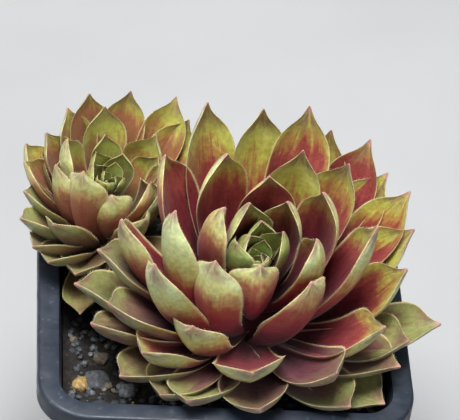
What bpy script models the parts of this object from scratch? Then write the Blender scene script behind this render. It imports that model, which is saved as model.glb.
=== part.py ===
"""Hens and chicks (houseleek) in a square plastic nursery pot: a large rosette, its smaller offset,
potting mix topped with grit, and the pot. Metres, +Z up, origin at the centre of the pot's base."""

import math
import random

import bmesh
import bpy
from mathutils import Matrix, Vector

MM = 0.001

# Driving dimensions of the pot, in metres.
POT_WIDTH = 0.090
POT_HEIGHT = 0.080
POT_BASE_WIDTH = 0.066
POT_WALL = 0.0014
RIM_WIDTH = 0.0053
RIM_SKIRT = 0.0055
RIM_CORNER = 0.0125
BASE_CORNER = 0.0090
CORNER_STEPS = 6
DRAIN_RADIUS = 0.0045
DRAIN_SPACING = 0.036

# The mix fills the pot to a little below the rim.
TOUCH_GAP = 0.0003
SOIL_TOP = 0.0688
SOIL_BUMP = 0.0007
SOIL_WAVES = (410, 370)
SOIL_EDGE_DROP = 0.0006
SOIL_EDGE_INSET = 0.0002
STEM_SOCKET_DEPTH = 0.012

# Each rosette is a short stem with whorls of thick leaves, the outer ones longest and most spread.
THICKNESS_SHARE = 0.21
LEAST_THICKNESS = 0.0007
# A blade turns this far about its midrib by its point, so that neighbours overlap like tiles.
LEAF_ROLL = math.radians(12)
# Points of the joined blades that are nearer than this are one point.
WELD = 0.000004

# Half-width of the blade along its length: a clasping foot, broad shoulders and a drawn-out point.
OUTLINE = (
    (0.00, 0.55),
    (0.20, 0.64),
    (0.42, 0.84),
    (0.60, 0.98),
    (0.70, 1.00),
    (0.79, 0.93),
    (0.85, 0.78),
    (0.92, 0.36),
    (1.00, 0.045),
)
# Thickness along the blade, as a share of its greatest.
THICKNESS = (
    (0.00, 0.90),
    (0.25, 1.00),
    (0.60, 0.85),
    (0.80, 0.55),
    (0.92, 0.30),
    (1.00, 0.12),
)
LARGE_RINGS = (0.0, 0.30, 0.54, 0.70, 0.82, 0.91, 1.0)
SMALL_RINGS = (0.0, 0.42, 0.70, 0.88, 1.0)

# A whorl: the level on the axis that reach and lift are taken from, over the rim (mm); where its blades
# leave the stem, out from the axis and over the rim (mm); reach and width of a blade (mm); inward curl
# (degrees); depth of the trough as a share of the half-width; and its leaves as the plant grew them.
# A leaf is (azimuth, lift) in degrees, azimuth 0 towards +X and 90 towards +Y, with a third value where
# it reaches further or less far than its whorl by so many mm.
HEN = {
    "axis": (6.4 * MM, -4.2 * MM),
    "lean": (0.0, -0.10),
    "stem_radius": 7.0 * MM,
    "heart": {"count": 9, "foot": 11.0, "longest": 9.5, "width": 6.0, "turn": 285.0},
    "whorls": (
        {
            "name": "skirt",
            "level": -4.5,
            "foot": (5.5, -6.3),
            "reach": 44,
            "width": 16.5,
            "curl": 24,
            "cup": 0.30,
            "leaves": (
                (223, 10), (204, 16), (185, 17), (206, 27), (184, 33), (247, 13), (270, 15), (238, 10, -1),
                (296, 24), (314, 6), (330, 19), (322, 16), (300, 11), (343, 17, 4), (10, 17, -7), (30, 18, -7),
                (52, 17, -3), (76, 18),
            ),
        },
        {
            "name": "outer",
            "level": -3.0,
            "foot": (5.5, -5.5),
            "reach": 42,
            "width": 15.0,
            "curl": 50,
            "cup": 0.30,
            "leaves": (
                (354, 53, 1), (188, 60), (321, 30), (139, 48, 3), (182, 43, 3), (212, 46, 1), (227, 21),
                (351, 33), (11, 32, 3), (23, 36, 7), (35, 36, 6), (46, 40, 10), (60, 41, 8), (69, 49, 11),
                (88, 48, 9), (110, 47, 11), (39, 52, 3),
            ),
        },
        {
            "name": "front",
            "level": -3.0,
            "foot": (5.5, -5.5),
            "reach": 42,
            "width": 17.0,
            "curl": 34,
            "cup": 0.16,
            "leaves": ((266, 27), (303, 55, -7)),
        },
        {
            "name": "middle",
            "level": -1.0,
            "foot": (5.0, -4.0),
            "reach": 32,
            "width": 14.5,
            "curl": 68,
            "cup": 0.30,
            "leaves": ((227, 61, -1), (80, 65, 2), (114, 61, 8), (23, 66, 6), (62, 58, 9), (236, 30)),
        },
        {
            "name": "inner",
            "level": 3.0,
            "foot": (3.5, 2.5),
            "reach": 22,
            "width": 12.5,
            "curl": 72,
            "cup": 0.50,
            "leaves": ((269, 67), (109, 78, 4), (46, 72, 6), (171, 73, 8), (338, 63, 7)),
        },
        {
            "name": "bud",
            "level": 7.0,
            "foot": (2.0, 8.0),
            "reach": 16,
            "width": 9.5,
            "curl": 60,
            "cup": 0.55,
            "leaves": ((200, 75, 1), (81, 77, 2), (14, 75, 2), (128, 82, -1)),
        },
    ),
}
CHICK = {
    "axis": (-28.3 * MM, 22.0 * MM),
    "lean": (0.0, -0.16),
    "stem_radius": 5.0 * MM,
    "heart": {"count": 8, "foot": 12.0, "longest": 8.0, "width": 4.6, "turn": 75.0},
    "whorls": (
        {
            "name": "skirt",
            "level": -3.5,
            "foot": (3.8, -2.2),
            "reach": 30,
            "width": 11.0,
            "curl": 22,
            "cup": 0.30,
            "leaves": (
                (232, 44), (211, 36), (227, 29), (238, 26), (258, 3), (252, 22, -3), (190, 42, -3),
                (150, 44, -4), (120, 40, -4), (90, 38, -4), (62, 34, -3), (310, 24, -7),
            ),
        },
        {
            "name": "outer",
            "level": -1.5,
            "foot": (3.8, -0.8),
            "reach": 30,
            "width": 11.5,
            "curl": 36,
            "cup": 0.32,
            "leaves": (
                (226, 70, -1), (78, 53, 6), (105, 52, 5), (120, 51, 2), (151, 65, -2), (192, 63, -2), (145, 51, -1),
                (157, 42), (171, 44, -2), (52, 49, 8), (40, 45, 5), (305, 50, -9), (345, 56, -8), (8, 52, -4),
            ),
        },
        {
            "name": "inner",
            "level": 1.5,
            "foot": (3.0, 3.0),
            "reach": 19,
            "width": 11.5,
            "curl": 66,
            "cup": 0.36,
            "leaves": ((271, 67), (32, 52, 2), (46, 54, 6), (95, 54, 10), (335, 64, 1)),
        },
        {
            "name": "bud",
            "level": 4.0,
            "foot": (1.8, 8.5),
            "reach": 13,
            "width": 8.0,
            "curl": 60,
            "cup": 0.50,
            "leaves": ((98, 64, 8), (66, 68, 4), (116, 66, 4), (138, 73, 2)),
        },
    ),
}
# The heart's small blades: they stand steeper and get smaller towards the middle (degrees, mm, shares).
HEART_LIFT = (66, 82)
HEART_CURL = 34
HEART_CUP = 0.5
HEART_TAPER = 0.6
HEART_FOOT_SPREAD = 1.2
GOLDEN_ANGLE = 137.508

# Grit: (x, y, size) of the stones seen at the front corner, in mm; the rest are scattered by rule.
CORNER_STONES = ((-29.5, -32.0, 8.4), (-21.5, -35.0, 6.2), (-34.0, -23.0, 5.0), (-30.0, -21.5, 6.4))
SCATTERED_STONES = 34
STONE_SIZES = (2.6 * MM, 5.2 * MM)
STONE_SEED = 11


def clear_scene():
    for obj in list(bpy.data.objects):
        bpy.data.objects.remove(obj, do_unlink=True)


def material(name, colour, roughness):
    made = bpy.data.materials.new(name)
    made.use_nodes = True
    shader = made.node_tree.nodes["Principled BSDF"]
    shader.inputs["Base Color"].default_value = (*colour, 1.0)
    shader.inputs["Roughness"].default_value = roughness
    shader.inputs["Metallic"].default_value = 0.0
    return made


def add_object(name, points, faces, finish=None, collection=None):
    mesh = bpy.data.meshes.new(name)
    mesh.from_pydata(points, [], faces)
    mesh.validate()
    obj = bpy.data.objects.new(name, mesh)
    (collection or bpy.context.scene.collection).objects.link(obj)
    if finish:
        mesh.materials.append(finish)
    return obj


def interpolate(table, t):
    """Smooth value of a (t, value) table."""
    for (t0, v0), (t1, v1) in zip(table, table[1:]):
        if t <= t1:
            share = (t - t0) / (t1 - t0)
            return v0 + (v1 - v0) * share
    return table[-1][1]


# The pot


def rounded_square(half, corner, z):
    """One loop of a square with round corners, counter-clockwise."""
    loop = []
    for quarter in range(4):
        angle = math.radians(90 * quarter)
        centre = Matrix.Rotation(angle, 2) @ Vector((half - corner, half - corner))
        for step in range(CORNER_STEPS + 1):
            turn = angle + math.radians(90) * step / CORNER_STEPS
            loop.append((centre.x + corner * math.cos(turn), centre.y + corner * math.sin(turn), z))
    return loop


def lofted(loops):
    """Points and faces of a closed skin over the loops, capped at both ends."""
    count = len(loops[0])
    points = [point for loop in loops for point in loop]
    faces = [tuple(reversed(range(count)))]
    for row in range(len(loops) - 1):
        for i in range(count):
            j = (i + 1) % count
            faces.append((row * count + i, row * count + j, (row + 1) * count + j, (row + 1) * count + i))
    faces.append(tuple(range((len(loops) - 1) * count, len(loops) * count)))
    return points, faces


def wall_half(z, inset=0.0):
    """Half-width of the tapering wall's outer face at height z, less an inset."""
    top = POT_WIDTH / 2 - RIM_WIDTH + POT_WALL
    return POT_BASE_WIDTH / 2 + (top - POT_BASE_WIDTH / 2) * z / POT_HEIGHT - inset


def wall_corner(z):
    return BASE_CORNER + (RIM_CORNER - RIM_WIDTH - BASE_CORNER) * z / POT_HEIGHT


def make_pot(finish):
    half, edge = POT_WIDTH / 2, 0.0008
    skirt = POT_HEIGHT - RIM_SKIRT
    flange = POT_HEIGHT - POT_WALL
    corner = RIM_CORNER
    outside = (
        (wall_half(0.0) - edge, wall_corner(0.0), 0.0),
        (wall_half(edge), wall_corner(edge), edge),
        (wall_half(flange), wall_corner(flange), flange),
        (half - POT_WALL, corner - POT_WALL, flange),
        (half - POT_WALL + 0.0001, corner - POT_WALL, skirt),
        (half, corner, skirt),
        (half, corner, POT_HEIGHT - edge),
        (half - edge / 2, corner, POT_HEIGHT - edge / 4),
        (half - edge, corner - edge, POT_HEIGHT),
        (half - RIM_WIDTH + edge / 2, corner - RIM_WIDTH + edge / 2, POT_HEIGHT),
        (half - RIM_WIDTH, corner - RIM_WIDTH, POT_HEIGHT - edge / 2),
        (wall_half(POT_WALL, POT_WALL), wall_corner(POT_WALL), POT_WALL),
    )
    pot = add_object("pot", *lofted([rounded_square(h, c, z) for h, c, z in outside]), finish)
    for sx in (-1, 1):
        for sy in (-1, 1):
            drain = cylinder(
                "drain_cutter", DRAIN_RADIUS, -0.004, 0.006, (sx * DRAIN_SPACING / 2, sy * DRAIN_SPACING / 2)
            )
            cut(pot, drain)
    return pot


def cylinder(name, radius, low, high, centre, steps=16):
    loops = []
    for z in (low, high):
        loops.append(
            [
                (
                    centre[0] + radius * math.cos(math.tau * i / steps),
                    centre[1] + radius * math.sin(math.tau * i / steps),
                    z,
                )
                for i in range(steps)
            ]
        )
    return add_object(name, *lofted(loops))


def cut(obj, cutter):
    """Takes the cutter out of the object for good."""
    apply_boolean(obj, "DIFFERENCE", cutter=cutter)
    bpy.data.objects.remove(cutter, do_unlink=True)


def apply_boolean(obj, operation, cutter=None, collection=None, solver="MANIFOLD"):
    modifier = obj.modifiers.new("join", "BOOLEAN")
    modifier.operation = operation
    modifier.solver = solver
    if collection:
        modifier.operand_type = "COLLECTION"
        modifier.collection = collection
    else:
        modifier.object = cutter
    bpy.context.view_layer.update()
    graph = bpy.context.evaluated_depsgraph_get()
    made = bpy.data.meshes.new_from_object(obj.evaluated_get(graph))
    obj.modifiers.clear()
    obj.data = made


def union_of(core, collection):
    """Joins every object of the collection to the core, and removes them."""
    apply_boolean(core, "UNION", collection=collection)
    for member in list(collection.objects):
        bpy.data.objects.remove(member, do_unlink=True)
    bpy.data.collections.remove(collection)


def fill_pockets(obj):
    """Drops the skins of small pockets shut in where blades cross, so that one closed skin is left."""
    body = bmesh.new()
    body.from_mesh(obj.data)
    bmesh.ops.triangulate(body, faces=body.faces)
    bmesh.ops.remove_doubles(body, verts=body.verts, dist=WELD)
    bmesh.ops.dissolve_degenerate(body, edges=body.edges, dist=WELD)
    islands, seen = [], set()
    for start in body.faces:
        if start in seen:
            continue
        seen.add(start)
        island, front = [start], [start]
        while front:
            for edge in front.pop().edges:
                for face in edge.link_faces if len(edge.link_faces) == 2 else ():
                    if face not in seen:
                        seen.add(face)
                        island.append(face)
                        front.append(face)
        islands.append(island)
    islands.sort(key=len)
    bmesh.ops.delete(body, geom=[face for island in islands[:-1] for face in island], context="FACES")
    body.to_mesh(obj.data)
    body.free()


# The mix and its grit


def make_mix(finish):
    """Fills the pot, clear of its walls, with a gently bumpy top and the grit fused into it."""
    inset = POT_WALL + TOUCH_GAP
    floor = POT_WALL + TOUCH_GAP
    rim_of_mix = SOIL_TOP - SOIL_EDGE_DROP
    loops = [
        rounded_square(wall_half(floor, inset) - SOIL_EDGE_INSET, wall_corner(floor), floor),
        rounded_square(wall_half(rim_of_mix, inset) - SOIL_EDGE_INSET, wall_corner(rim_of_mix), rim_of_mix),
    ]
    top_half = wall_half(rim_of_mix, inset)
    for share in (0.86, 0.62, 0.34):
        loop = rounded_square(top_half * share, wall_corner(rim_of_mix) * share, SOIL_TOP)
        along, across = SOIL_WAVES
        loops.append([(x, y, z + SOIL_BUMP * math.sin(along * x) * math.cos(across * y)) for x, y, z in loop])
    mix = add_object("potting_mix", *lofted(loops), finish)
    stones = bpy.data.collections.new("stones")
    bpy.context.scene.collection.children.link(stones)
    for x, y, size in stone_places():
        add_stone(stones, x, y, size)
    union_of(mix, stones)
    for plant in (HEN, CHICK):
        radius = plant["stem_radius"] + TOUCH_GAP
        socket = cylinder("socket_cutter", radius, SOIL_TOP - STEM_SOCKET_DEPTH, POT_HEIGHT, plant["axis"])
        cut(mix, socket)
    return mix


def stone_places():
    """The corner stones, then stones scattered clear of them, of each other and of the stems."""
    rng = random.Random(STONE_SEED)
    placed = [(x * MM, y * MM, size * MM) for x, y, size in CORNER_STONES]
    reach = wall_half(SOIL_TOP, POT_WALL)
    while len(placed) < len(CORNER_STONES) + SCATTERED_STONES:
        size = rng.uniform(*STONE_SIZES)
        limit = reach - size * 0.62
        x, y = rng.uniform(-limit, limit), rng.uniform(-limit, limit)
        near_stem = any(
            math.dist((x, y), plant["axis"]) < plant["stem_radius"] + 4 * MM + size / 2
            for plant in (HEN, CHICK)
        )
        near_stone = any(math.dist((x, y), (a, b)) < 0.42 * (size + other) for a, b, other in placed)
        in_corner = abs(x) > limit - 3 * MM and abs(y) > limit - 3 * MM
        if not (near_stem or near_stone or in_corner):
            placed.append((x, y, size))
    return placed


def add_stone(collection, x, y, size):
    """A broken pebble, sunk to its waist in the mix."""
    rng = random.Random(round(x * 1e6) + round(y * 1e6))
    body = bmesh.new()
    bmesh.ops.create_icosphere(body, subdivisions=1, radius=size / 2)
    flat = rng.uniform(0.55, 0.8)
    for vert in body.verts:
        vert.co *= rng.uniform(0.86, 1.08)
        vert.co.z *= flat
    turn = Matrix.Rotation(rng.uniform(0, math.tau), 4, "Z") @ Matrix.Rotation(rng.uniform(-0.4, 0.4), 4, "X")
    bmesh.ops.transform(body, matrix=Matrix.Translation((x, y, SOIL_TOP - 0.1 * size)) @ turn, verts=body.verts)
    mesh = bpy.data.meshes.new("stone")
    body.to_mesh(mesh)
    body.free()
    collection.objects.link(bpy.data.objects.new("stone", mesh))


# The rosettes


def leaf_skin(foot, azimuth, point, shape, large):
    """Points and faces of one thick blade from its foot at the stem to its point, both given as distance
    out from the axis and height.

    The midrib is an arc between them that turns by the curl. The upper face is a trough, and the lower face
    bulges most of all along the midrib."""
    side = Vector((-math.sin(azimuth), math.cos(azimuth), 0.0))
    reach, lift = math.dist(foot, point), math.atan2(point[1] - foot[1], point[0] - foot[0])
    half_curl = shape["curl"] / 2
    radius = reach / 2 / math.sin(half_curl)
    rings = LARGE_RINGS if large else SMALL_RINGS
    points, faces = [], []
    for t in rings:
        turned = half_curl * (2 * t - 1)
        run = reach / 2 + radius * math.sin(turned)
        sag = radius * (math.cos(half_curl) - math.cos(turned))
        out = foot[0] + run * math.cos(lift) - sag * math.sin(lift)
        height = foot[1] + run * math.sin(lift) + sag * math.cos(lift)
        angle = lift + turned
        spot = in_space(azimuth, out, height)
        normal = in_space(azimuth, -math.sin(angle), math.cos(angle))
        across = side * math.cos(LEAF_ROLL * t) + normal * math.sin(LEAF_ROLL * t)
        normal = normal * math.cos(LEAF_ROLL * t) - side * math.sin(LEAF_ROLL * t)
        half = shape["width"] / 2 * interpolate(OUTLINE, t)
        thick = max(shape["width"] * THICKNESS_SHARE * interpolate(THICKNESS, t), LEAST_THICKNESS)
        for u, share in ((-1.0, 0.0), (0.0, 0.0), (1.0, 0.0), (0.5, 1.0), (-0.5, 1.0)):
            body = share * (LEAST_THICKNESS + (thick - LEAST_THICKNESS) * (1 - abs(u) ** 1.8))
            points.append(spot + across * u * half + normal * (half * shape["cup"] * u * u - body))
    count = 5
    faces.append(tuple(range(count)))
    for row in range(len(rings) - 1):
        for i in range(count):
            j = (i + 1) % count
            faces.append((row * count + j, row * count + i, (row + 1) * count + i, (row + 1) * count + j))
    faces.append(tuple(reversed(range((len(rings) - 1) * count, len(rings) * count))))
    return points, faces


def in_space(azimuth, out, height):
    return Vector((out * math.cos(azimuth), out * math.sin(azimuth), height))


def leaves_of(plant):
    """(azimuth, foot, point, shape, large) of each leaf: the whorls, then the heart's spiral. Foot and
    point are (out, height) from the axis at the rim's level, in metres."""
    for whorl in plant["whorls"]:
        out, height = whorl["foot"]
        for azimuth, lift, *further in whorl["leaves"]:
            reach, lift = whorl["reach"] + sum(further), math.radians(lift)
            point = (1 + reach * math.cos(lift), whorl["level"] + reach * math.sin(lift))
            shape = {"width": whorl["width"] * MM, "curl": math.radians(whorl["curl"]), "cup": whorl["cup"]}
            large = whorl["name"] in ("skirt", "outer", "front", "middle")
            yield azimuth, (out * MM, height * MM), (point[0] * MM, point[1] * MM), shape, large
    heart = plant["heart"]
    for i in range(heart["count"]):
        share = i / (heart["count"] - 1)
        size = 1 - HEART_TAPER * share
        foot = (HEART_FOOT_SPREAD * (1 - share), heart["foot"] + share)
        reach, lift = heart["longest"] * size, math.radians(HEART_LIFT[0] * (1 - share) + HEART_LIFT[1] * share)
        point = (foot[0] + reach * math.cos(lift), foot[1] + reach * math.sin(lift))
        shape = {"width": heart["width"] * size * MM, "curl": math.radians(HEART_CURL), "cup": HEART_CUP}
        azimuth = heart["turn"] + GOLDEN_ANGLE * i
        yield azimuth, (foot[0] * MM, foot[1] * MM), (point[0] * MM, point[1] * MM), shape, False


def make_rosette(name, plant, finish):
    """The stem, from its socket in the mix to the heart, with every leaf joined to it."""
    radius = plant["stem_radius"]
    heart = POT_HEIGHT + plant["heart"]["foot"] * MM
    profile = (
        (SOIL_TOP - STEM_SOCKET_DEPTH + TOUCH_GAP, 0.45),
        (SOIL_TOP - STEM_SOCKET_DEPTH + 0.003, 0.92),
        (SOIL_TOP + 0.004, 1.0),
        (POT_HEIGHT, 0.80),
        (POT_HEIGHT + 0.5 * (heart - POT_HEIGHT), 0.60),
        (heart, 0.36),
        (heart + 0.0015, 0.15),
    )
    sides = 14
    loops = []
    for z, share in profile:
        centre = axis_at(plant, z - POT_HEIGHT)
        loops.append(
            [
                (
                    centre.x + radius * share * math.cos(math.tau * i / sides),
                    centre.y + radius * share * math.sin(math.tau * i / sides),
                    z,
                )
                for i in range(sides)
            ]
        )
    stem = add_object(name, *lofted(loops), finish)
    blades = bpy.data.collections.new(name + "_blades")
    bpy.context.scene.collection.children.link(blades)
    for azimuth, foot, point, shape, large in leaves_of(plant):
        points, faces = leaf_skin(foot, math.radians(azimuth), point, shape, large)
        centre = axis_at(plant, (foot[1] + point[1]) / 2)
        centre.z = POT_HEIGHT
        add_object("blade", [centre + spot for spot in points], faces, finish, blades)
    union_of(stem, blades)
    fill_pockets(stem)
    stem.data.shade_smooth()
    stem.data.set_sharp_from_angle(angle=math.radians(50))
    return stem


def axis_at(plant, height):
    """The rosette's axis at a height over the rim. It leans only above the rim."""
    lean = max(0.0, height)
    return Vector((plant["axis"][0] + plant["lean"][0] * lean, plant["axis"][1] + plant["lean"][1] * lean, 0.0))


def main():
    clear_scene()
    make_pot(material("pot_plastic", (0.045, 0.055, 0.070), 0.50))
    make_mix(material("mix_and_grit", (0.060, 0.052, 0.045), 0.95))
    make_rosette("hen_rosette", HEN, material("hen_leaf", (0.42, 0.30, 0.12), 0.45))
    make_rosette("chick_rosette", CHICK, material("chick_leaf", (0.45, 0.36, 0.14), 0.45))


main()
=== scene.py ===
"""Looks of the potted hens and chicks: fleshy two-tone leaves with fringed margins, gritty mix, matt pot."""

import math
import random

import bmesh
import bpy
import numpy as np
from mathutils import Matrix, Vector, noise


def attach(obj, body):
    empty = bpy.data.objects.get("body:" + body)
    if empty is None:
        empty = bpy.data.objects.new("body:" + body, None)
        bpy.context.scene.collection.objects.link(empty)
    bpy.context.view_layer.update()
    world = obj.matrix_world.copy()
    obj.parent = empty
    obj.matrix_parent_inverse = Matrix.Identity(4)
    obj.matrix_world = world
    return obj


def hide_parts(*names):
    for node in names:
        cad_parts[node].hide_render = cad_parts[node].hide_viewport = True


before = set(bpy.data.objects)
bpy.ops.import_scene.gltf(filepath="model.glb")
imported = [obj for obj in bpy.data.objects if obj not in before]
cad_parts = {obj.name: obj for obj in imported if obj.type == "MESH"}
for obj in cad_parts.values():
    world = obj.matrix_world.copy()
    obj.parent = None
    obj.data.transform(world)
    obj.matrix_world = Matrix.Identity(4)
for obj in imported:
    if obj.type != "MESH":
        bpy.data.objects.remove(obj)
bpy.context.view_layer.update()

MM = 0.001
GOLDEN_ANGLE = 137.508

# The pot and the mix, as the solids have them, in metres.
POT_WIDTH = 0.090
POT_HEIGHT = 0.080
POT_BASE_WIDTH = 0.066
POT_WALL = 0.0014
POT_EDGE_ROUND = 0.0008
RIM_WIDTH = 0.0053
RIM_SKIRT = 0.0055
RIM_CORNER = 0.0125
BASE_CORNER = 0.0090
DRAIN_RADIUS = 0.0045
DRAIN_SPACING = 0.036
TOUCH_GAP = 0.0003
SOIL_TOP = 0.0688

# Stones seen at the front corner as (x, y, size) in mm; the rest are scattered by rule.
CORNER_STONES = ((-29.5, -32.0, 8.4), (-21.5, -35.0, 6.2), (-34.0, -23.0, 5.0), (-30.0, -21.5, 6.4))
SCATTERED_STONES = 34
STONE_SIZES = (2.6 * MM, 5.2 * MM)
STONE_SEED = 11
GRIT_COUNT = 1300
GRIT_SIZES = (0.6, 2.6)
GRIT_SEED = 5
STONE_CUTS = 9

# Rough top of the mix: noise as (height in metres, waves per metre), the second one folded upwards.
SOIL_CRUMBS = ((0.0009, 160), (0.0011, 420), (0.0007, 1100))
SOIL_SINK = 0.0007
SOIL_RINGS = 70
SOIL_CORNER_STEPS, SOIL_SIDE_STEPS = 6, 34

# The two rosettes as the solids have them, but for a shallower trough in the hen's skirt: lengths in mm,
# angles in degrees. A whorl has the level on the axis that reach and lift are taken from, where its blades
# leave the stem (out, height over the rim), reach, width, inward curl, depth of the trough, and its leaves
# as (azimuth, lift, further reach).
HEN = {
    "axis": (6.4 * MM, -4.2 * MM),
    "lean": (0.0, -0.10),
    "stem_radius": 7.0 * MM,
    "heart": {"count": 9, "foot": 11.0, "longest": 9.5, "width": 6.0, "turn": 285.0},
    "whorls": (
        {
            "name": "skirt",
            "level": -4.5,
            "foot": (5.5, -6.3),
            "reach": 44,
            "width": 16.5,
            "curl": 24,
            "cup": 0.20,
            "leaves": (
                (223, 10), (204, 16), (185, 17), (206, 27), (184, 33), (247, 13), (270, 15), (238, 10, -1),
                (296, 24), (314, 6), (330, 19), (322, 16), (300, 11), (343, 17, 4), (10, 17, -7),
                (30, 18, -7), (52, 17, -3), (76, 18),
            ),
        },
        {
            "name": "outer",
            "level": -3.0,
            "foot": (5.5, -5.5),
            "reach": 42,
            "width": 15.0,
            "curl": 50,
            "cup": 0.30,
            "leaves": (
                (354, 53, 1), (188, 60), (321, 30), (139, 48, 3), (182, 43, 3), (212, 46, 1), (227, 21),
                (351, 33), (11, 32, 3), (23, 36, 7), (35, 36, 6), (46, 40, 10), (60, 41, 8), (69, 49, 11),
                (88, 48, 9), (110, 47, 11), (39, 52, 3),
            ),
        },
        {
            "name": "front",
            "level": -3.0,
            "foot": (5.5, -5.5),
            "reach": 42,
            "width": 17.0,
            "curl": 34,
            "cup": 0.16,
            "leaves": ((266, 27), (303, 55, -7)),
        },
        {
            "name": "middle",
            "level": -1.0,
            "foot": (5.0, -4.0),
            "reach": 32,
            "width": 14.5,
            "curl": 68,
            "cup": 0.30,
            "leaves": ((227, 61, -1), (80, 65, 2), (114, 61, 8), (23, 66, 6), (62, 58, 9), (236, 30)),
        },
        {
            "name": "inner",
            "level": 3.0,
            "foot": (3.5, 2.5),
            "reach": 22,
            "width": 12.5,
            "curl": 72,
            "cup": 0.50,
            "leaves": ((269, 67), (109, 78, 4), (46, 72, 6), (171, 73, 8), (338, 63, 7)),
        },
        {
            "name": "bud",
            "level": 7.0,
            "foot": (2.0, 8.0),
            "reach": 16,
            "width": 9.5,
            "curl": 60,
            "cup": 0.55,
            "leaves": ((200, 75, 1), (81, 77, 2), (14, 75, 2), (128, 82, -1)),
        },
    ),
}
CHICK = {
    "axis": (-28.3 * MM, 22.0 * MM),
    "lean": (0.0, -0.16),
    "stem_radius": 5.0 * MM,
    "heart": {"count": 8, "foot": 12.0, "longest": 8.0, "width": 4.6, "turn": 75.0},
    "whorls": (
        {
            "name": "skirt",
            "level": -3.5,
            "foot": (3.8, -2.2),
            "reach": 30,
            "width": 11.0,
            "curl": 22,
            "cup": 0.30,
            "leaves": (
                (232, 44), (211, 36), (227, 29), (238, 26), (258, 3), (252, 22, -3), (190, 42, -3),
                (150, 44, -4), (120, 40, -4), (90, 38, -4), (62, 34, -3), (310, 24, -7),
            ),
        },
        {
            "name": "outer",
            "level": -1.5,
            "foot": (3.8, -0.8),
            "reach": 30,
            "width": 11.5,
            "curl": 36,
            "cup": 0.32,
            "leaves": (
                (226, 70, -1), (78, 53, 6), (105, 52, 5), (120, 51, 2), (151, 65, -2), (192, 63, -2),
                (145, 51, -1), (157, 42), (171, 44, -2), (52, 49, 8), (40, 45, 5), (305, 50, -9),
                (345, 56, -8), (8, 52, -4),
            ),
        },
        {
            "name": "inner",
            "level": 1.5,
            "foot": (3.0, 3.0),
            "reach": 19,
            "width": 11.5,
            "curl": 66,
            "cup": 0.36,
            "leaves": ((271, 67), (32, 52, 2), (46, 54, 6), (95, 54, 10), (335, 64, 1)),
        },
        {
            "name": "bud",
            "level": 4.0,
            "foot": (1.8, 8.5),
            "reach": 13,
            "width": 8.0,
            "curl": 60,
            "cup": 0.50,
            "leaves": ((98, 64, 8), (66, 68, 4), (116, 66, 4), (138, 73, 2)),
        },
    ),
}
HEN_SEED, CHICK_SEED = 12, 5
CHICK_GREENER = 0.22

# The tight spiral at the heart of a rosette: its blades shorten and rise towards the middle.
HEART_FOOT_SPREAD = 1.2
HEART_TAPER = 0.6
HEART_LIFT = (66, 82)
HEART_CURL = 34
HEART_CUP = 0.5
# Age of the leaves, which sets their colours: 0 in the heart, 1 in the lowest whorl.
AGES = {"skirt": 1.0, "outer": 0.72, "front": 0.72, "middle": 0.5, "inner": 0.3, "bud": 0.15, "heart": 0.05}

# Blade outline: half-width as a share of the greatest, and thickness likewise, along the length.
OUTLINE = (
    (0.00, 0.55), (0.20, 0.64), (0.42, 0.84), (0.60, 0.98), (0.70, 1.00), (0.79, 0.93), (0.85, 0.78),
    (0.89, 0.58), (0.925, 0.34), (0.955, 0.18), (0.98, 0.09), (1.00, 0.02),
)
THICKNESS = (
    (0.00, 0.90), (0.25, 1.00), (0.60, 0.85), (0.80, 0.58), (0.92, 0.32), (0.97, 0.16), (1.00, 0.05),
)
THICKNESS_SHARE = 0.21
EDGE_THICKNESS = 0.00035
ROWS, COLUMNS = 34, 15
ROW_CROWDING = 1.5

# How far single blades depart from the rule: degrees of twist, then sway and hook at the point as shares of
# their reach. HOOKED_UP is the share of blades that hook inwards; the others hook back by half as much.
LEAF_ROLL = 12.0
LEAF_TWIST = 7.0
LEAF_SWAY = 0.05
HOOK, HOOK_SPREAD = 0.034, (0.3, 1.0)
HOOK_START = 0.86
HOOKED_UP, HOOK_BACK = 0.55, -0.5
FOLD_SPREAD = (0.9, 1.25)
# Relief across a blade, as shares of its half-width; the keel's height is a share of the blade's thickness,
# and it begins at a share of its length.
MARGIN_ROLL = 0.10
SIDE_WAVE, MARGIN_WAVE = 0.07, 0.06
GROOVE_DEPTH, GROOVE_WIDTH = 0.05, 0.22
KEEL_HEIGHT, KEEL_WIDTH, KEEL_START = 0.16, 0.25, 0.45

# Hairs along the margins, in metres: they are shorter on blades under the full-fringe width. Then shares of
# the blade: bare at its foot, fringed beyond it, and how much of its reach sets the number of hairs.
CILIA_SPACING = 0.00042
CILIA_LENGTH = 0.00062
CILIA_RADIUS = 0.00005
CILIA_ROOT = 0.00012
FULL_FRINGE_WIDTH = 0.010
CILIA_BARE, CILIA_SPAN, CILIA_REACH = 0.20, 0.77, 0.78

# Stem: (height over the rim in metres, share of its radius), then the shares halfway to the heart and at it.
STEM_FOOT = ((-0.023, 0.45), (-0.0205, 0.92), (-0.007, 1.0), (0.0, 0.80))
STEM_NECK, STEM_CROWN = 0.6, 0.36
STEM_SIDES = 28

# Leaf colours, from the foot of a blade to its point.
UPPER_FACE = (
    (0.25, (0.040, 0.004, 0.007)),
    (0.54, (0.130, 0.011, 0.017)),
    (0.72, (0.230, 0.036, 0.028)),
    (0.81, (0.320, 0.165, 0.040)),
    (0.88, (0.380, 0.360, 0.060)),
    (1.00, (0.420, 0.420, 0.100)),
)
LOWER_FACE = (
    (0.20, (0.150, 0.008, 0.028)),
    (0.48, (0.300, 0.022, 0.044)),
    (0.66, (0.350, 0.075, 0.058)),
    (0.76, (0.460, 0.290, 0.120)),
    (0.84, (0.500, 0.500, 0.190)),
    (1.00, (0.470, 0.540, 0.270)),
)
# Young heart leaves: near-black at the foot as painted shade between the heart's leaves, then their own dark
# green and lime points.
YOUNG_LEAF_AND_PAINTED_SHADE = ((0.20, (0.003, 0.006, 0.002)), (0.66, (0.024, 0.052, 0.005)), (0.90, (0.180, 0.270, 0.026)))
BUD_GREEN = (0.230, 0.290, 0.050)
OLD_FOOT, OLD_SHOULDER = (0.075, 0.026, 0.036), (0.110, 0.125, 0.065)
BROWN_SPOT = (0.150, 0.045, 0.050)
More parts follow.
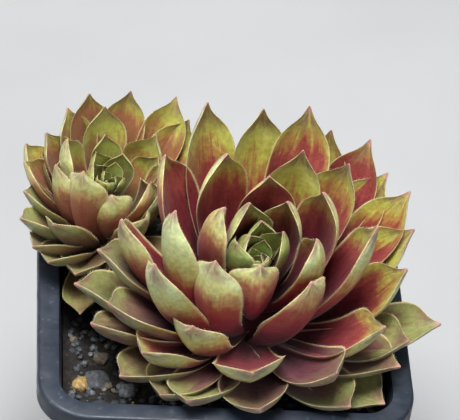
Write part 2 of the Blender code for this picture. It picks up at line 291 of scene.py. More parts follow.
CREAM_MARGIN = (0.640, 0.520, 0.260)
ROSY_POINT = (0.420, 0.220, 0.170)
OFFSET_GREEN = (0.300, 0.290, 0.070)
STONE_COLOURS = (
    (0.00, (0.030, 0.034, 0.040)),
    (0.45, (0.060, 0.066, 0.074)),
    (0.74, (0.130, 0.138, 0.145)),
    (0.90, (0.120, 0.095, 0.065)),
    (0.97, (0.300, 0.190, 0.060)),
)

# Camera at the photograph's viewing angle: degrees, metres, and mm for the lens and its sensor.
CAMERA_AZIMUTH, CAMERA_ELEVATION, CAMERA_ROLL = -8, 42, 8
CAMERA_DISTANCE = 0.759
CAMERA_TARGET = Vector((0.0035, 0.0293, 0.080))
LENS, SENSOR = 234.8, 36.0

# Soft lights: name, place, width of the panel in metres, and watts. All aim at the middle of the rim.
LIGHTS = (
    ("overhead", (-0.12, 0.02, 0.9), 0.45, 15.0),
    ("front_fill", (0.4, -0.9, 0.8), 0.5, 4.5),
    ("left_fill", (-0.9, -0.2, 0.5), 0.5, 3.0),
)
LIGHT_AIM = Vector((0.0, 0.0, 0.08))
SKY, SKY_STRENGTH = (0.92, 0.95, 1.0, 1.0), 0.16
FLOOR_HALF = 3


# Shapes


def smooth_value(table, t):
    """Catmull-Rom value of a (t, value) table."""
    last = len(table) - 1
    part = next((i for i in range(last) if t <= table[i + 1][0]), last - 1)
    (t0, v0), (t1, v1) = table[part], table[part + 1]
    before, after = table[max(part - 1, 0)], table[min(part + 2, last)]
    s = (t - t0) / (t1 - t0)
    m0 = (v1 - before[1]) / (t1 - before[0]) * (t1 - t0)
    m1 = (after[1] - v0) / (after[0] - t0) * (t1 - t0)
    s2, s3 = s * s, s * s * s
    weights = (2 * s3 - 3 * s2 + 1, s3 - 2 * s2 + s, 3 * s2 - 2 * s3, s3 - s2)
    return sum(weight * value for weight, value in zip(weights, (v0, m0, v1, m1)))


def in_space(azimuth, out, height):
    return Vector((out * math.cos(azimuth), out * math.sin(azimuth), height))


class Skin:
    """Gathers points, faces and named values per point for one mesh."""

    def __init__(self, *names):
        self.points, self.faces = [], []
        self.values = {name: [] for name in names}

    def add(self, point, **values):
        self.points.append(tuple(point))
        for name, value in values.items():
            self.values[name].append(value)
        return len(self.points) - 1

    def join(self, rows, downwards=False):
        """Faces between each row of points and the next one up, or down, and a face at either end."""
        for a, b in zip(rows, rows[1:]):
            for i in range(len(a)):
                j = (i + 1) % len(a)
                self.faces.append((a[i], b[i], b[j], a[j]) if downwards else (a[i], a[j], b[j], b[i]))
        first, last = (rows[0], rows[-1][::-1]) if downwards else (rows[0][::-1], rows[-1])
        self.faces += [tuple(first), tuple(last)]

    def build(self, name, finish, smooth=True):
        mesh = bpy.data.meshes.new(name)
        mesh.from_pydata(self.points, [], self.faces)
        mesh.materials.append(finish)
        for key, values in self.values.items():
            attribute = mesh.attributes.new(key, "FLOAT", "POINT")
            attribute.data.foreach_set("value", np.array(values, np.float32))
        if smooth:
            mesh.shade_smooth()
        obj = bpy.data.objects.new(name, mesh)
        bpy.context.scene.collection.objects.link(obj)
        return obj


# Rosettes


def leaf_of(azimuth, foot, point, width, curl, cup, age):
    """A leaf in metres and radians; foot and point are (out from the axis, height over the rim)."""
    return {
        "azimuth": math.radians(azimuth),
        "foot": (foot[0] * MM, foot[1] * MM),
        "point": (point[0] * MM, point[1] * MM),
        "width": width * MM,
        "curl": math.radians(curl),
        "cup": cup,
        "age": AGES[age],
    }


def leaves_of(plant):
    """Every leaf of the whorls and then of the heart, as the solids place them."""
    for whorl in plant["whorls"]:
        for azimuth, lift, *further in whorl["leaves"]:
            reach, lift = whorl["reach"] + sum(further), math.radians(lift)
            point = (1 + reach * math.cos(lift), whorl["level"] + reach * math.sin(lift))
            blade = whorl["width"], whorl["curl"], whorl["cup"], whorl["name"]
            yield leaf_of(azimuth, whorl["foot"], point, *blade)
    heart = plant["heart"]
    for i in range(heart["count"]):
        share = i / (heart["count"] - 1)
        taper = 1 - HEART_TAPER * share
        foot = (HEART_FOOT_SPREAD * (1 - share), heart["foot"] + share)
        lift = math.radians(HEART_LIFT[0] + (HEART_LIFT[1] - HEART_LIFT[0]) * share)
        reach = heart["longest"] * taper
        point = (foot[0] + reach * math.cos(lift), foot[1] + reach * math.sin(lift))
        azimuth = heart["turn"] + GOLDEN_ANGLE * i
        yield leaf_of(azimuth, foot, point, heart["width"] * taper, HEART_CURL, HEART_CUP, "heart")


def axis_at(plant, height):
    """The rosette's axis at this height, which leans from the rim upwards; the result is at rim level."""
    risen = max(0.0, height)
    x, y = (start + lean * risen for start, lean in zip(plant["axis"], plant["lean"]))
    return Vector((x, y, POT_HEIGHT))


class Blade:
    """One leaf's surface: t runs from its foot (0) to its point (1), and u across it (-1 to 1)."""

    def __init__(self, leaf, centre, rng):
        self.centre, self.azimuth, self.foot = centre, leaf["azimuth"], leaf["foot"]
        self.width, self.half_curl = leaf["width"], leaf["curl"] / 2
        out, height = (b - a for a, b in zip(leaf["foot"], leaf["point"]))
        self.side = Vector((-math.sin(self.azimuth), math.cos(self.azimuth), 0.0))
        self.reach, self.lift = math.hypot(out, height), math.atan2(height, out)
        self.radius = self.reach / 2 / math.sin(self.half_curl)
        self.twist = math.radians(LEAF_ROLL + rng.uniform(-LEAF_TWIST, LEAF_TWIST))
        self.sway = rng.uniform(-LEAF_SWAY, LEAF_SWAY) * self.reach
        self.waves = rng.uniform(0, math.tau), rng.uniform(0, math.tau)
        self.hook = rng.uniform(*HOOK_SPREAD) * HOOK * self.reach
        self.hook *= 1 if rng.random() < HOOKED_UP else HOOK_BACK
        self.fold = leaf["cup"] * rng.uniform(*FOLD_SPREAD)

    def midrib(self, t):
        """The midrib's point at t, with the directions across the blade and out of its face."""
        turned = self.half_curl * (2 * t - 1)
        run = self.reach / 2 + self.radius * math.sin(turned)
        sag = self.radius * (math.cos(self.half_curl) - math.cos(turned))
        out = self.foot[0] + run * math.cos(self.lift) - sag * math.sin(self.lift)
        height = self.foot[1] + run * math.sin(self.lift) + sag * math.cos(self.lift)
        spot = in_space(self.azimuth, out, height) + self.side * self.sway * math.sin(math.pi * t) * t
        angle, tilt = self.lift + turned, self.twist * t
        normal = in_space(self.azimuth, -math.sin(angle), math.cos(angle))
        across = self.side * math.cos(tilt) + normal * math.sin(tilt)
        normal = normal * math.cos(tilt) - self.side * math.sin(tilt)
        spot += normal * self.hook * max(0.0, (t - HOOK_START) / (1 - HOOK_START)) ** 1.6
        return spot, across, normal

    def relief(self, t, u, half):
        """Height of the upper face over the midrib: a trough, a rolled and waved margin, and a groove."""
        cup = self.fold * (0.80 + 0.45 * t) * abs(u) ** 1.8
        roll = MARGIN_ROLL * math.sin(math.pi * t) * abs(u) ** 6
        wave = SIDE_WAVE * u * math.sin(5.0 * t + self.waves[0])
        wave += MARGIN_WAVE * abs(u) * math.sin(8.0 * t + self.waves[1])
        groove = GROOVE_DEPTH * math.exp(-((u / GROOVE_WIDTH) ** 2)) * math.sin(math.pi * min(1, t * 1.05))
        return half * (cup + roll + wave - groove)

    def depth(self, t, u, half):
        """Thickness under the upper face: thin at the margin, with a keel towards the point."""
        thick = self.width * THICKNESS_SHARE * max(0.0, smooth_value(THICKNESS, t))
        keel = KEEL_HEIGHT * math.exp(-((u / KEEL_WIDTH) ** 2))
        keel *= max(0.0, (t - KEEL_START) / (1 - KEEL_START))
        margin = EDGE_THICKNESS * min(1.0, half / EDGE_THICKNESS) * (1 - abs(u) ** 8)
        return margin + thick * (1 - abs(u) ** 2.2) * (0.86 + keel)

    def at(self, t, u, under=False):
        """A point on the upper face, or on the lower one."""
        spot, across, normal = self.midrib(t)
        half = self.width / 2 * max(0.0, smooth_value(OUTLINE, t))
        height = self.relief(t, u, half) - (self.depth(t, u, half) if under else 0.0)
        return self.centre + (spot + across * u * half + normal * height)


def add_leaf(skin, blade, age, shade):
    """Adds one closed blade; its upper and lower faces share their margin."""
    columns = [math.sin(math.pi / 2 * (2 * i / (COLUMNS - 1) - 1)) for i in range(COLUMNS)]
    tops, bottoms = [], []
    for i in range(ROWS):
        t = 1 - (1 - i / (ROWS - 1)) ** ROW_CROWDING
        values = {"t": t, "age": age, "shade": shade}
        row = [skin.add(blade.at(t, u), u=u, under=0.0, **values) for u in columns]
        inner = [skin.add(blade.at(t, u, under=True), u=u, under=1.0, **values) for u in columns[1:-1]]
        tops.append(row)
        bottoms.append([row[0], *inner, row[-1]])
    for a, b in zip(range(ROWS - 1), range(1, ROWS)):
        for i in range(COLUMNS - 1):
            skin.faces.append((tops[a][i], tops[b][i], tops[b][i + 1], tops[a][i + 1]))
            skin.faces.append((bottoms[a][i], bottoms[a][i + 1], bottoms[b][i + 1], bottoms[b][i]))
    skin.faces.append(tuple(tops[0] + bottoms[0][-2:0:-1]))
    skin.faces.append(tuple((tops[-1] + bottoms[-1][-2:0:-1])[::-1]))


def add_cilia(fringe, blade, rng):
    """Short stiff hairs along both margins, each a three-sided spike rooted in the margin."""
    count = int(blade.reach * CILIA_REACH / CILIA_SPACING)
    longest = CILIA_LENGTH * min(1.0, blade.width / FULL_FRINGE_WIDTH)
    for edge in (-1.0, 1.0):
        for i in range(count):
            t = CILIA_BARE + CILIA_SPAN * (i + rng.uniform(0.2, 0.8)) / count
            root, inner = blade.at(t, edge * 0.985), blade.at(t, edge * 0.8)
            ahead = (blade.at(min(1.0, t + 0.01), edge) - root).normalized()
            outward = (root - inner).normalized()
            way = (outward + ahead * rng.uniform(0.2, 0.9)).normalized()
            add_spike(fringe, root - way * CILIA_ROOT, way, longest * rng.uniform(0.55, 1.1) + CILIA_ROOT)


def add_spike(fringe, root, way, length):
    one = way.orthogonal().normalized()
    two = way.cross(one)
    ring = []
    for i in range(3):
        angle = math.tau * i / 3
        ring.append(fringe.add(root + (one * math.cos(angle) + two * math.sin(angle)) * CILIA_RADIUS))
    tip = fringe.add(root + way * length)
    fringe.faces.append((ring[2], ring[1], ring[0]))
    for i in range(3):
        fringe.faces.append((ring[i], ring[(i + 1) % 3], tip))


def add_stem(skin, plant):
    """The short stem between the leaves, down into its hole in the mix."""
    heart = plant["heart"]["foot"] * MM
    rows = []
    for height, share in (*STEM_FOOT, (heart / 2, STEM_NECK), (heart, STEM_CROWN)):
        centre = axis_at(plant, height)
        row = []
        for i in range(STEM_SIDES):
            turn = math.tau * i / STEM_SIDES
            wobble = 1 + 0.03 * math.sin(5 * turn + 300 * height)
            spot = centre + in_space(turn, plant["stem_radius"] * share * wobble, height)
            row.append(skin.add(spot, t=0.02, u=0.0, under=1.0, age=1.0, shade=0.5))
        rows.append(row)
    skin.join(rows)


def make_rosette(name, plant, leaf_finish, fringe_finish, seed):
    rng = random.Random(seed)
    skin = Skin("t", "u", "under", "age", "shade")
    fringe = Skin()
    for leaf in leaves_of(plant):
        centre = axis_at(plant, (leaf["foot"][1] + leaf["point"][1]) / 2)
        blade = Blade(leaf, centre, rng)
        add_leaf(skin, blade, leaf["age"], rng.random())
        add_cilia(fringe, blade, rng)
    add_stem(skin, plant)
    for obj in (skin.build(name + "_leaves", leaf_finish), fringe.build(name + "_fringe", fringe_finish)):
        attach(obj, "root")
        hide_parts(name + "_rosette")


# Materials


class Nodes:
    """Shorthand for building a shader tree."""

    def __init__(self, name):
        self.material = bpy.data.materials.new(name)
        self.material.use_nodes = True
        self.tree = self.material.node_tree
        self.shader = self.tree.nodes["Principled BSDF"]

    def link(self, source, target):
        self.tree.links.new(source, target)

    def drive(self, socket, source):
        """Links a source to one of the shader's sockets."""
        self.link(source, self.shader.inputs[socket])

    def set(self, **values):
        """Sets the shader's own sockets; an underscore in a name stands for a space."""
        for name, value in values.items():
            self.shader.inputs[name.replace("_", " ")].default_value = value

    def attribute(self, name):
        node = self.tree.nodes.new("ShaderNodeAttribute")
        node.attribute_name = name
        return node.outputs["Fac"]

    def noise(self, scale, detail=4.0, rough=0.55, vector=None, stretch=None):
        node = self.tree.nodes.new("ShaderNodeTexNoise")
        node.inputs["Scale"].default_value = scale
        node.inputs["Detail"].default_value = detail
        node.inputs["Roughness"].default_value = rough
        source = vector or self.tree.nodes.new("ShaderNodeTexCoord").outputs["Object"]
        if stretch:
            mapping = self.tree.nodes.new("ShaderNodeMapping")
            mapping.inputs["Scale"].default_value = stretch
            self.link(source, mapping.inputs["Vector"])
            source = mapping.outputs["Vector"]
        self.link(source, node.inputs["Vector"])
        return node.outputs["Fac"]

    def fill(self, socket, value):
        """Puts a number or a colour on a socket, or links another socket to it."""
        if isinstance(value, (int, float)):
            socket.default_value = value
        elif isinstance(value, tuple):
            socket.default_value = (*value, 1.0)
        else:
            self.link(value, socket)

    def math(self, operation, a, b=0.0):
        node = self.tree.nodes.new("ShaderNodeMath")
        node.operation = operation
        self.fill(node.inputs[0], a)
        self.fill(node.inputs[1], b)
        return node.outputs[0]

    def plus(self, a, b):
        return self.math("ADD", a, b)

    def times(self, a, b):
        return self.math("MULTIPLY", a, b)

    def shift(self, value, source, size):
        """The value, moved by up to half of size either way by a source from 0 to 1."""
        return self.plus(value, self.times(self.math("SUBTRACT", source, 0.5), size))

    def ramp(self, source, stops, mode="EASE"):
        node = self.tree.nodes.new("ShaderNodeValToRGB")
        node.color_ramp.interpolation = mode
        elements = node.color_ramp.elements
        while len(elements) < len(stops):
            elements.new(0.5)
        for element, (place, colour) in zip(elements, stops):
            element.position = place
            value = (colour,) * 3 if isinstance(colour, (int, float)) else colour
            element.color = (*value, 1.0)
        self.link(source, node.inputs["Fac"])
        return node.outputs["Color"]

    def mix(self, share, a, b, blend="MIX"):
        node = self.tree.nodes.new("ShaderNodeMix")
        node.data_type = "RGBA"
        node.blend_type = blend
        self.fill(node.inputs["Factor"], share)
        self.fill(node.inputs[6], a)
        self.fill(node.inputs[7], b)
        return node.outputs[2]

    def band(self, value, low, high):
        """0 below low, 1 above high, smooth between."""
        node = self.tree.nodes.new("ShaderNodeMapRange")
        node.interpolation_type = "SMOOTHSTEP"
        node.inputs["From Min"].default_value = low
        node.inputs["From Max"].default_value = high
        self.link(value, node.inputs["Value"])
        return node.outputs["Result"]

    def bump(self, height, strength, distance):
        node = self.tree.nodes.new("ShaderNodeBump")
        node.inputs["Strength"].default_value = strength
        node.inputs["Distance"].default_value = distance
        self.link(height, node.inputs["Height"])
        self.drive("Normal", node.outputs["Normal"])


class LeafPattern:
    """The values that leaf colours follow: place on the blade, age, and noise that runs along the blade."""

    def __init__(self, n):
        self.n = n
        self.t, self.u, self.shade = n.attribute("t"), n.attribute("u"), n.attribute("shade")
        self.under, self.age = n.attribute("under"), n.attribute("age")
        self.edge = n.math("ABSOLUTE", self.u)
        self.blotch = self.noise(4.0, 0.6, 5.0, 4.5)
        self.streak = self.noise(5.0, 0.6, 3.5, 16.0)
        self.broad = self.noise(2.0, 0.5, 2.2, 1.6)
        along = n.shift(self.t, self.blotch, 0.34)
        along = n.shift(along, self.broad, 0.42)
        along = n.shift(along, self.streak, 0.22)
        along = n.shift(along, self.shade, 0.20)
        self.along = n.plus(along, n.times(n.math("POWER", self.edge, 3.0), 0.08))

    def noise(self, detail, rough, along, across):
        """Noise with so many waves along and across a blade, differing from leaf to leaf."""
        node = self.n.tree.nodes.new("ShaderNodeCombineXYZ")
        self.n.link(self.n.times(self.t, along), node.inputs["X"])
        self.n.link(self.n.times(self.u, across / 2), node.inputs["Y"])
        self.n.link(self.n.times(self.shade, 91.0), node.inputs["Z"])
        return self.n.noise(1.0, detail, rough, vector=node.outputs["Vector"])


def leaf_colour(n, leaf):
    """Burgundy foot and yellow-green shoulders, greener in the heart and duller in the lowest leaves; the
    heart's leaves are near-black at their foot, which is painted shade.
    """
    colour = n.mix(leaf.under, n.ramp(leaf.along, UPPER_FACE), n.ramp(leaf.along, LOWER_FACE))
    # Heart leaves take the young ramp, whose near-black foot is painted shade.
    colour = n.mix(n.band(leaf.age, 0.24, 0.08), colour, n.ramp(leaf.t, YOUNG_LEAF_AND_PAINTED_SHADE))
    budding = n.times(n.band(leaf.age, 0.40, 0.10), n.band(leaf.along, 0.45, 0.75))
    colour = n.mix(n.times(budding, 0.6), colour, BUD_GREEN)
    old = n.mix(n.band(leaf.along, 0.45, 0.90), OLD_FOOT, OLD_SHOULDER)
    return n.mix(n.times(n.band(leaf.age, 0.80, 1.0), 0.68), colour, old)


def leaf_markings(n, leaf, colour):
    """Brown spot under the point, cream margin, rosy point and fine freckles."""
    spot = n.times(n.band(leaf.t, 0.82, 0.93), n.band(leaf.blotch, 0.35, 0.60))
    colour = n.mix(n.times(spot, 0.75), colour, BROWN_SPOT)
    margin = n.times(n.band(leaf.edge, 0.935, 0.985), n.band(leaf.t, 0.12, 0.55))
    colour = n.mix(n.times(margin, 0.80), colour, CREAM_MARGIN)
    colour = n.mix(n.times(n.band(leaf.t, 0.95, 0.985), 0.8), colour, ROSY_POINT)
    freckle = n.ramp(n.noise(900.0, 2.0, 0.5), ((0.40, 0.88), (0.62, 1.08)))
    return n.mix(1.0, colour, freckle, "MULTIPLY")


def leaf_material(name, greener):
    """Waxy flesh with a faint bloom; greener is how far the whole leaf is tinted."""
    n = Nodes(name)
    leaf = LeafPattern(n)
    colour = leaf_markings(n, leaf, leaf_colour(n, leaf))
    if greener:
        colour = n.mix(greener, colour, OFFSET_GREEN)
    n.drive("Base Color", colour)
    n.drive("Roughness", n.ramp(leaf.blotch, ((0.3, 0.36), (0.7, 0.50))))
    n.set(Subsurface_Weight=0.10, Subsurface_Radius=(0.0016, 0.0009, 0.0004), Subsurface_Scale=1.0)
    n.set(Sheen_Weight=0.10, Sheen_Roughness=0.5)
    swell = n.times(n.noise(140.0, 3.0, 0.5), 4.0)
    fine = n.plus(n.noise(1500.0, 3.0, 0.5), n.times(leaf.streak, 2.0))
    n.bump(n.plus(fine, swell), 0.35, 0.0003)
    return n.material


def fringe_material():
    n = Nodes("leaf_fringe")
    tints = ((0.35, (0.520, 0.420, 0.250)), (0.65, (0.640, 0.580, 0.370)))
    n.drive("Base Color", n.ramp(n.noise(120.0, 2.0), tints))
    n.set(Roughness=0.5, Subsurface_Weight=0.2, Subsurface_Radius=(0.0004, 0.0003, 0.0002))
    return n.material


def pot_material():
    """Matt dark slate-blue plastic with scuffs and a little dried-on dust."""
    n = Nodes("pot_plastic")
    colour = n.ramp(n.noise(45.0, 4.0, 0.6), ((0.30, (0.008, 0.012, 0.021)), (0.70, (0.018, 0.025, 0.039))))
    scratch = n.noise(420.0, 3.0, 0.7, stretch=(1.0, 1.0, 0.12))
    colour = n.mix(n.times(n.band(scratch, 0.60, 0.72), 0.35), colour, (0.110, 0.130, 0.155))
    dust = n.band(n.noise(150.0, 6.0, 0.7), 0.55, 0.75)
    n.drive("Base Color", n.mix(n.times(dust, 0.25), colour, (0.120, 0.110, 0.095)))
    n.drive("Roughness", n.ramp(n.noise(260.0, 4.0, 0.6), ((0.3, 0.36), (0.7, 0.58))))
    n.set(Specular_IOR_Level=0.38)
    n.bump(n.plus(n.noise(900.0, 3.0), n.times(scratch, 0.7)), 0.12, 0.0002)
    return n.material


def soil_material():
    """Dark peaty crumbs with a few paler flecks."""
    n = Nodes("potting_mix")
    crumbs = n.noise(520.0, 6.0, 0.75)
    peat = ((0.34, (0.003, 0.003, 0.003)), (0.52, (0.013, 0.010, 0.008)), (0.66, (0.040, 0.032, 0.025)))
    flecks = n.band(n.noise(1500.0, 3.0, 0.6), 0.64, 0.70)
    n.drive("Base Color", n.mix(n.times(flecks, 0.7), n.ramp(crumbs, peat), (0.130, 0.100, 0.060)))
    n.set(Roughness=0.9)
    n.bump(n.plus(crumbs, n.noise(1300.0, 6.0, 0.7)), 1.0, 0.0010)
    return n.material


def stone_material():
    """Each stone has a value from 0 to 1: slate at the low end, then grey, then rust and yellow chips."""
    n = Nodes("grit")
    colour = n.ramp(n.attribute("kind"), STONE_COLOURS, "CONSTANT")
    grain = n.ramp(n.noise(1400.0, 4.0, 0.7), ((0.35, 0.55), (0.65, 1.35)))
    colour = n.mix(1.0, colour, grain, "MULTIPLY")
    dirt = n.times(n.band(n.noise(300.0, 5.0, 0.7), 0.55, 0.75), 0.5)
    n.drive("Base Color", n.mix(dirt, colour, (0.02, 0.016, 0.012)))
    n.drive("Roughness", n.ramp(n.noise(500.0), ((0.3, 0.45), (0.7, 0.8))))
    n.bump(n.noise(1800.0, 5.0, 0.7), 0.5, 0.0003)
    return n.material


# Pot


def wall_half(z, inset=0.0):
    """Half the width across the pot's walls at height z."""
    top = POT_WIDTH / 2 - RIM_WIDTH + POT_WALL
    return POT_BASE_WIDTH / 2 + (top - POT_BASE_WIDTH / 2) * z / POT_HEIGHT - inset


def wall_corner(z):
    return BASE_CORNER + (RIM_CORNER - RIM_WIDTH - BASE_CORNER) * z / POT_HEIGHT


def rounded_square(half, corner, z, steps=14, along=10):
    """One loop of a square with round corners, counter-clockwise, with points along its straight sides."""
    loop = []
    for quarter in range(4):
        angle = math.radians(90 * quarter)
        centre = Matrix.Rotation(angle, 2) @ Vector((half - corner, half - corner))
        for step in range(steps + 1):
            turn = angle + math.radians(90) * step / steps
            loop.append(Vector((centre.x + corner * math.cos(turn), centre.y + corner * math.sin(turn), z)))
        ahead = Matrix.Rotation(angle + math.radians(90), 2) @ Vector((half - corner, half - corner))
        start = loop[-1]
        end = Vector((ahead.x + corner * math.cos(turn), ahead.y + corner * math.sin(turn), z))
        for step in range(1, along):
            loop.append(start.lerp(end, step / along))
    return loop


def wall_rings():
    """(half-width, corner radius, height) up the outside of the wall to the underside of the flange."""
    edge, flange = POT_EDGE_ROUND, POT_HEIGHT - POT_WALL
    yield wall_half(0.0) - edge, wall_corner(0.0) - edge / 2, 0.0
    for i in range(13):
        z = edge + (flange - edge) * i / 12
        yield wall_half(z), wall_corner(z), z


def skirt_rings():
    """Out under the flange, down inside the skirt, and up its outside to the rim's rounded edge."""
    half, edge = POT_WIDTH / 2, POT_EDGE_ROUND
    skirt = POT_HEIGHT - RIM_SKIRT
    yield half - POT_WALL, RIM_CORNER - POT_WALL, POT_HEIGHT - POT_WALL
    yield half - POT_WALL + 0.0001, RIM_CORNER - POT_WALL, skirt + 0.0002
    yield half - POT_WALL / 2, RIM_CORNER - POT_WALL / 2, skirt
    yield half, RIM_CORNER, skirt + 0.0003
    for i in range(1, 4):
        yield half, RIM_CORNER, skirt + (POT_HEIGHT - edge - skirt) * i / 3
    for i in range(1, 5):
        turn = math.radians(90) * i / 4
        yield half - edge + edge * math.cos(turn), RIM_CORNER, POT_HEIGHT - edge + edge * math.sin(turn)


def inner_rings():
    """In across the rim, over its inner edge and down to the floor."""
    inner, corner, edge = POT_WIDTH / 2 - RIM_WIDTH, RIM_CORNER - RIM_WIDTH, POT_EDGE_ROUND
    yield inner + edge, corner + edge, POT_HEIGHT
    yield inner + edge / 3, corner + edge / 3, POT_HEIGHT - edge / 6
    yield inner, corner, POT_HEIGHT - edge
    for i in range(1, 9):
        z = POT_HEIGHT - edge - (POT_HEIGHT - edge - POT_WALL) * i / 8
        yield min(inner, wall_half(z, POT_WALL)), wall_corner(z), z


def make_pot(finish):
    """The moulded pot, with rolled rim edges, a turned-down skirt and four drain holes."""
    skin = Skin()
    rings = (*wall_rings(), *skirt_rings(), *inner_rings())
    skin.join([[skin.add(point) for point in rounded_square(*ring)] for ring in rings])
    pot = skin.build("pot_moulding", finish)
    for sx in (-1, 1):
        for sy in (-1, 1):
            drill(pot, sx * DRAIN_SPACING / 2, sy * DRAIN_SPACING / 2)
    pot.data.set_sharp_from_angle(angle=math.radians(50))
    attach(pot, "root")
    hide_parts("pot")


def drill(pot, x, y):
    """Cuts one drain hole, and leaves no cutter and no modifier behind."""
    body = bmesh.new()
    bmesh.ops.create_cone(
        body, cap_ends=True, segments=32, radius1=DRAIN_RADIUS, radius2=DRAIN_RADIUS, depth=0.01,
        matrix=Matrix.Translation((x, y, 0.0)),
    )
    mesh = bpy.data.meshes.new("drain_cutter")
    body.to_mesh(mesh)
    body.free()
    cutter = bpy.data.objects.new("drain_cutter", mesh)
    bpy.context.scene.collection.objects.link(cutter)
    modifier = pot.modifiers.new("drain", "BOOLEAN")
    modifier.operation = "DIFFERENCE"
    modifier.object = cutter
    bpy.context.view_layer.update()
    made = bpy.data.meshes.new_from_object(pot.evaluated_get(bpy.context.evaluated_depsgraph_get()))
    pot.modifiers.clear()
    pot.data = made
    bpy.data.objects.remove(cutter, do_unlink=True)


# Mix and stones


def stone_places():
    """The same stones as the solid's: those at the front corner, then scattered ones."""
    rng = random.Random(STONE_SEED)
    placed = [(x * MM, y * MM, size * MM) for x, y, size in CORNER_STONES]
    reach = wall_half(SOIL_TOP, POT_WALL)
    while len(placed) < len(CORNER_STONES) + SCATTERED_STONES:
        size = rng.uniform(*STONE_SIZES)
        limit = reach - size * 0.62
        x, y = rng.uniform(-limit, limit), rng.uniform(-limit, limit)
        near_stem = any(
            math.dist((x, y), plant["axis"]) < plant["stem_radius"] + 4 * MM + size / 2
            for plant in (HEN, CHICK)
        )
        near_stone = any(math.dist((x, y), (a, b)) < 0.42 * (size + other) for a, b, other in placed)
        in_corner = abs(x) > limit - 3 * MM and abs(y) > limit - 3 * MM
        if not (near_stem or near_stone or in_corner):
            placed.append((x, y, size))
    return placed


def add_stone(skin, place, size, subdivisions, rng):
    """A broken pebble: a ball pushed about by coarse and fine noise, with a few flat faces."""
    body = bmesh.new()
    bmesh.ops.create_icosphere(body, subdivisions=subdivisions, radius=1.0)
    shift = Vector((rng.uniform(0, 50), rng.uniform(0, 50), rng.uniform(0, 50)))
    cuts = []
    for _ in range(STONE_CUTS):
        way = Vector([rng.gauss(0, 1) for _ in range(3)]).normalized()
        cuts.append((way, rng.uniform(0.70, 0.95)))
    shape = (rng.uniform(0.95, 1.1), rng.uniform(0.8, 1.0), rng.uniform(0.6, 0.8))
    turn = Matrix.Rotation(rng.uniform(0, math.tau), 3, "Z") @ Matrix.Rotation(rng.uniform(-0.5, 0.5), 3, "X")
    kind = rng.random()
    for vert in body.verts:
        spot = vert.co.copy()
        for way, depth in cuts:
            spot -= way * max(0.0, spot.dot(way) - depth) * 0.92
        spot *= 1 + 0.10 * noise.noise(spot * 1.7 + shift) + 0.035 * noise.noise(spot * 6 + shift)
        spot = turn @ Vector((spot.x * shape[0], spot.y * shape[1], spot.z * shape[2]))
        vert.index = skin.add(Vector(place) + spot * size / 2, kind=kind)
    for face in body.faces:
        skin.faces.append(tuple(vert.index for vert in face.verts))
    body.free()


def mix_height(x, y):
    """Rough top of the mix."""
    swell, crumb, fine = (depth * noise.noise(Vector((x, y, 0.0)) * waves) for depth, waves in SOIL_CRUMBS)
    return SOIL_TOP + swell + abs(crumb) + fine - SOIL_SINK


def mix_skin():
    """The crumbly top of the mix, from the middle outwards, and the plain plug under it."""
    steps = SOIL_CORNER_STEPS, SOIL_SIDE_STEPS
    reach, corner = wall_half(SOIL_TOP, POT_WALL + TOUCH_GAP), wall_corner(SOIL_TOP)
    rings = [(0.0025, 0.00125)]
    rings += [(reach * i / SOIL_RINGS, corner * i / SOIL_RINGS) for i in range(5, SOIL_RINGS + 1)]
    skin = Skin()
    rows = []
    for half, round_off in rings:
        loop = rounded_square(half, round_off, SOIL_TOP, *steps)
        rows.append([skin.add((spot.x, spot.y, mix_height(spot.x, spot.y))) for spot in loop])
    for z in (SOIL_TOP - 0.002, SOIL_TOP / 2, POT_WALL + TOUCH_GAP):
        loop = rounded_square(wall_half(z, POT_WALL + TOUCH_GAP), wall_corner(z), z, *steps)
        rows.append([skin.add(point) for point in loop])
    skin.join(rows, downwards=True)
    return skin


def stone_skin():
    """The solid's stones, and much finer grit all over."""
    skin = Skin("kind")
    rng = random.Random(GRIT_SEED)
    for x, y, size in stone_places():
        add_stone(skin, (x, y, SOIL_TOP - 0.1 * size), size, 3, rng)
    reach = wall_half(SOIL_TOP, POT_WALL + TOUCH_GAP) - 0.0016
    for _ in range(GRIT_COUNT):
        size = rng.uniform(*GRIT_SIZES) * MM
        x, y = (rng.uniform(-1, 1) * reach for _ in range(2))
        add_stone(skin, (x, y, mix_height(x, y) + 0.1 * size), size, 1, rng)
    return skin


def make_mix(soil, grit):
    for obj in (mix_skin().build("mix_top", soil), stone_skin().build("grit", grit, smooth=False)):
        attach(obj, "root")
        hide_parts("potting_mix")


# Floor, light and camera


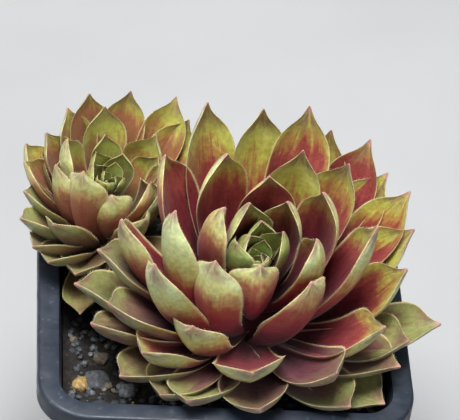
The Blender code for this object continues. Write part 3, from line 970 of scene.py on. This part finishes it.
def make_stage():
    n = Nodes("floor")
    pale = ((0.3, (0.34, 0.345, 0.35)), (0.7, (0.38, 0.385, 0.39)))
    n.drive("Base Color", n.ramp(n.noise(6.0, 4.0), pale))
    n.set(Roughness=0.8)
    mesh = bpy.data.meshes.new("floor")
    corners = ((-1, -1), (1, -1), (1, 1), (-1, 1))
    mesh.from_pydata([(x * FLOOR_HALF, y * FLOOR_HALF, 0) for x, y in corners], [], [(0, 1, 2, 3)])
    mesh.materials.append(n.material)
    floor = bpy.data.objects.new("floor", mesh)
    bpy.context.scene.collection.objects.link(floor)


def area_light(name, place, size, power):
    light = bpy.data.lights.new(name, "AREA")
    light.size = size
    light.energy = power
    obj = bpy.data.objects.new(name, light)
    bpy.context.scene.collection.objects.link(obj)
    obj.location = place
    obj.rotation_mode = "QUATERNION"
    obj.rotation_quaternion = (LIGHT_AIM - Vector(place)).to_track_quat("-Z", "Y")


def make_lights():
    for light in LIGHTS:
        area_light(*light)
    bpy.context.scene.view_settings.view_transform = "Standard"
    world = bpy.data.worlds.new("studio")
    bpy.context.scene.world = world
    world.use_nodes = True
    background = world.node_tree.nodes["Background"]
    background.inputs["Color"].default_value = SKY
    background.inputs["Strength"].default_value = SKY_STRENGTH


def make_camera():
    azimuth, elevation, roll = (math.radians(a) for a in (CAMERA_AZIMUTH, CAMERA_ELEVATION, CAMERA_ROLL))
    ahead = math.cos(elevation)
    back = Vector((math.sin(azimuth) * ahead, -math.cos(azimuth) * ahead, math.sin(elevation)))
    right = Vector((math.cos(azimuth), math.sin(azimuth), 0.0))
    up = back.cross(right)
    turned = right * math.cos(roll) + up * math.sin(roll)
    risen = up * math.cos(roll) - right * math.sin(roll)
    camera = bpy.data.cameras.new("camera")
    camera.lens, camera.sensor_width = LENS, SENSOR
    camera.clip_start, camera.clip_end = 0.01, 20
    obj = bpy.data.objects.new("camera", camera)
    bpy.context.scene.collection.objects.link(obj)
    axes = Matrix((turned, risen, back)).transposed().to_4x4()
    obj.matrix_world = Matrix.Translation(CAMERA_TARGET + back * CAMERA_DISTANCE) @ axes
    bpy.context.scene.camera = obj


make_pot(pot_material())
make_mix(soil_material(), stone_material())
fringe_finish = fringe_material()
make_rosette("hen", HEN, leaf_material("hen_leaf", 0.0), fringe_finish, HEN_SEED)
make_rosette("chick", CHICK, leaf_material("chick_leaf", CHICK_GREENER), fringe_finish, CHICK_SEED)
make_stage()
make_lights()
make_camera()
